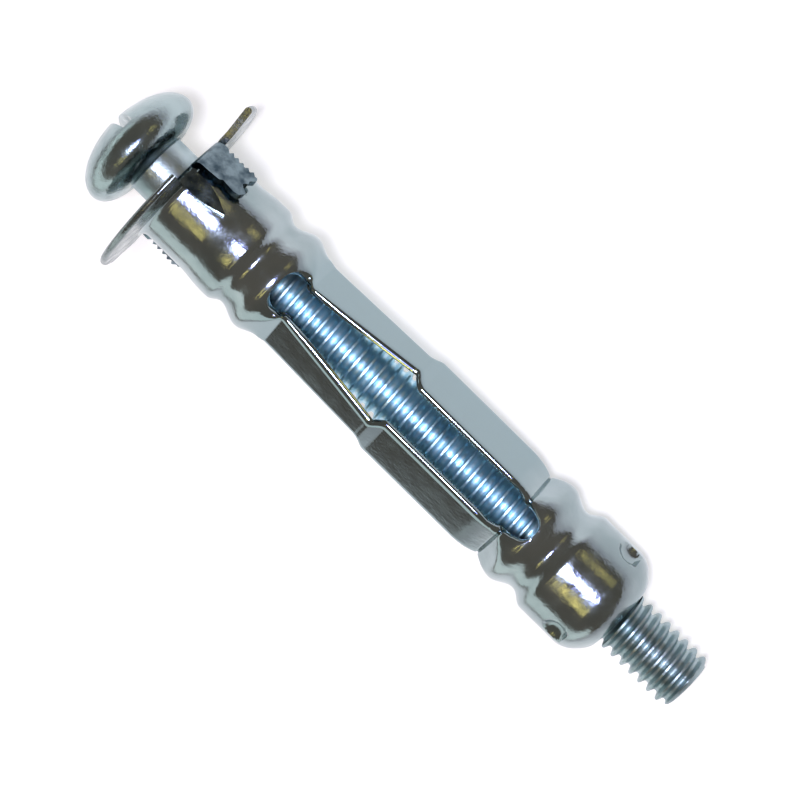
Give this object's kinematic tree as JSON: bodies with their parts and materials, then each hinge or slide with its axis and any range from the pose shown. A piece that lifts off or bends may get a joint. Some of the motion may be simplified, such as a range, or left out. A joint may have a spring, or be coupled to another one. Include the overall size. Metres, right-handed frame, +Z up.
{
  "type": "hollow wall anchor",
  "caption": "Metal hollow wall anchor: flanged sleeve with bent claws and flat folding legs, an inner nut and a slotted domed screw.",
  "frame": {"origin": "on the level surface that the anchor lies on, under the middle of its length; the screw's axis is 7.05 mm above it", "axes": "+X along the screw's axis from the head to the tip, +Z up from the surface"},
  "size_m": [0.0515, 0.0138, 0.0141],
  "materials": {
    "sleeve_zinc": "bright zinc plating",
    "nut_steel": "dull zinc plating",
    "screw_zinc": "bright zinc plating, slightly blue"
  },
  "bodies": {
    "sleeve_body": {"sleeve": "sleeve_zinc", "nut": "nut_steel"},
    "screw_body": {"screw": "screw_zinc"}
  },
  "joints": [
    {"name": "screw_turn", "type": "hinge", "parent": "sleeve_body", "child": "screw_body", "pos_m": [0, 0, 0.00705], "axis": [1, 0, 0], "continuous": true}
  ]
}
